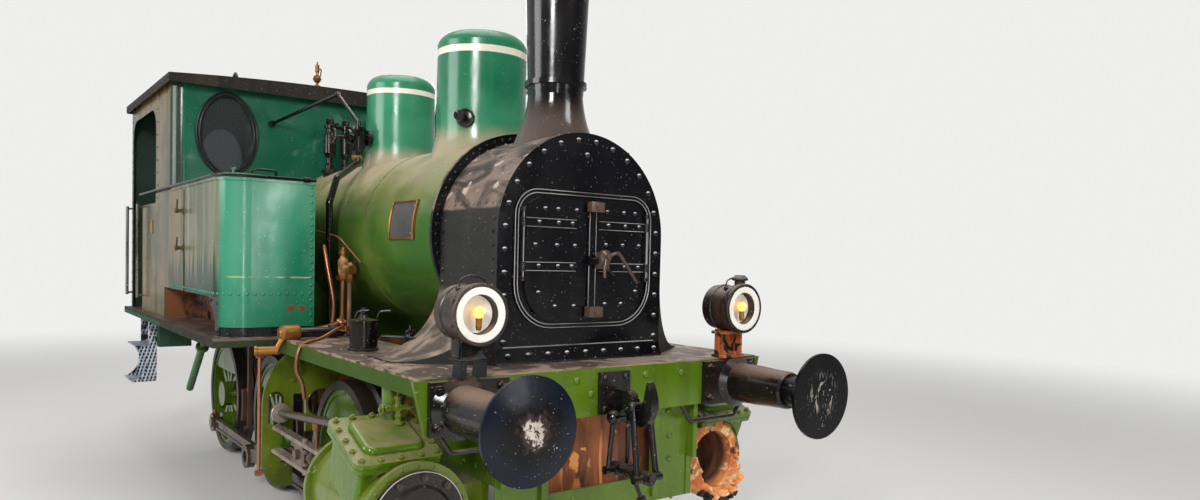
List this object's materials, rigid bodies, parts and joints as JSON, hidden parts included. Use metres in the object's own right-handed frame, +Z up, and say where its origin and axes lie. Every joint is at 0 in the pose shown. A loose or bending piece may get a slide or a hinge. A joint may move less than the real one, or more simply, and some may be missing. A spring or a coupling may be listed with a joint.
{
  "type": "steam tank locomotive",
  "caption": "Small six-coupled steam tank locomotive with side tanks, closed cab, tall chimney, two domes, outside cylinders and side buffers.",
  "frame": {"origin": "under the middle of the engine at the tips of the wheel flanges, centre of the box's base", "axes": "+Z up, the front of the engine looks along -Y, +X is the engine's left-hand side"},
  "size_m": [2.9, 6.74, 3.828],
  "materials": {
    "black_paint": "gloss",
    "boiler_green": "dusty gloss",
    "brass": "tarnished",
    "dusty_black": "dusty matt",
    "dusty_deck": "dusty matt",
    "olive_green": "gloss",
    "pane": "dusty",
    "rusty_iron": "rusty",
    "tank_green": "worn gloss",
    "tyre_steel": "worn",
    "worked_steel": "oiled"
  },
  "bodies": {
    "chassis": {"ashpan": "dusty_black", "axleboxes": "olive_green", "boiler_barrel": "boiler_green", "boiler_fittings": "worked_steel", "brakes": "black_paint", "buffer_heads": "black_paint", "buffer_housings": "black_paint", "cab_back": "tank_green", "cab_controls": "black_paint", "cab_front": "tank_green", "cab_platform": "dusty_deck", "cab_roof": "dusty_black", "cab_sides": "tank_green", "cab_steps": "black_paint", "chimney": "black_paint", "connecting_rods": "worked_steel", "crossheads": "worked_steel", "cylinder_covers": "black_paint", "cylinder_left": "rusty_iron", "cylinder_right": "olive_green", "door_brackets": "black_paint", "drawhooks": "black_paint", "firebox": "boiler_green", "frame_stretchers": "olive_green", "front_buffer_beam": "olive_green", "front_dome": "tank_green", "front_platform": "dusty_deck", "handrails": "worked_steel", "lamp_brackets": "black_paint", "lamps": "dusty_black", "main_frames": "olive_green", "motion_plates": "olive_green", "number_plate": "brass", "rear_buffer_beam": "olive_green", "rear_dome": "tank_green", "safety_valves": "black_paint", "screw_couplings": "black_paint", "slide_bars": "worked_steel", "smokebox": "black_paint", "smokebox_ring": "black_paint", "smokebox_saddle": "dusty_black", "springs": "black_paint", "tank_left": "tank_green", "tank_right": "tank_green", "valve_chests": "olive_green", "whistle": "brass", "window_glass": "pane", "window_rims": "dusty_black"},
    "wheels_front": {"wheels_front": "olive_green", "tyres_front": "tyre_steel"},
    "wheels_middle": {"wheels_middle": "olive_green", "tyres_middle": "tyre_steel"},
    "wheels_rear": {"wheels_rear": "olive_green", "tyres_rear": "tyre_steel"},
    "coupling_rod_right": {"coupling_rod_right": "worked_steel"},
    "coupling_rod_left": {"coupling_rod_left": "worked_steel"},
    "smokebox_door_right": {"smokebox_door_right": "black_paint"},
    "smokebox_door_left": {"smokebox_door_left": "black_paint"},
    "tank_lid_right": {"tank_lid_right": "tank_green"},
    "tank_lid_left": {"tank_lid_left": "tank_green"}
  },
  "joints": [
    {"name": "middle_wheels_spin", "type": "hinge", "parent": "chassis", "child": "wheels_middle", "pos_m": [0, 0.23, 0.508], "axis": [1, 0, 0], "continuous": true},
    {"name": "front_wheels_spin", "type": "hinge", "parent": "chassis", "child": "wheels_front", "pos_m": [0, -1.18, 0.508], "axis": [1, 0, 0], "continuous": true},
    {"name": "rear_wheels_spin", "type": "hinge", "parent": "chassis", "child": "wheels_rear", "pos_m": [0, 1.63, 0.508], "axis": [1, 0, 0], "continuous": true},
    {"name": "coupling_rod_right_pin", "type": "hinge", "parent": "wheels_middle", "child": "coupling_rod_right", "pos_m": [-0.885, 0.23, 0.268], "axis": [1, 0, 0], "continuous": true},
    {"name": "coupling_rod_left_pin", "type": "hinge", "parent": "wheels_middle", "child": "coupling_rod_left", "pos_m": [0.885, -0.01, 0.508], "axis": [1, 0, 0], "continuous": true},
    {"name": "smokebox_door_right_hinge", "type": "hinge", "parent": "chassis", "child": "smokebox_door_right", "pos_m": [-0.402, -2.507, 1.743], "axis": [0, 0, -1], "range_deg": [0, 120]},
    {"name": "smokebox_door_left_hinge", "type": "hinge", "parent": "chassis", "child": "smokebox_door_left", "pos_m": [0.402, -2.507, 1.743], "axis": [0, 0, 1], "range_deg": [0, 120]},
    {"name": "tank_lid_right_hinge", "type": "hinge", "parent": "chassis", "child": "tank_lid_right", "pos_m": [-0.911, -0.02, 2.262], "axis": [0, 1, 0], "range_deg": [0, 110]},
    {"name": "tank_lid_left_hinge", "type": "hinge", "parent": "chassis", "child": "tank_lid_left", "pos_m": [0.911, -0.02, 2.262], "axis": [0, -1, 0], "range_deg": [0, 110]}
  ],
  "couplings": [
    {"joint": "front_wheels_spin", "follows": "middle_wheels_spin", "ratio": 1},
    {"joint": "rear_wheels_spin", "follows": "middle_wheels_spin", "ratio": 1},
    {"joint": "coupling_rod_right_pin", "follows": "middle_wheels_spin", "ratio": -1},
    {"joint": "coupling_rod_left_pin", "follows": "middle_wheels_spin", "ratio": -1}
  ]
}
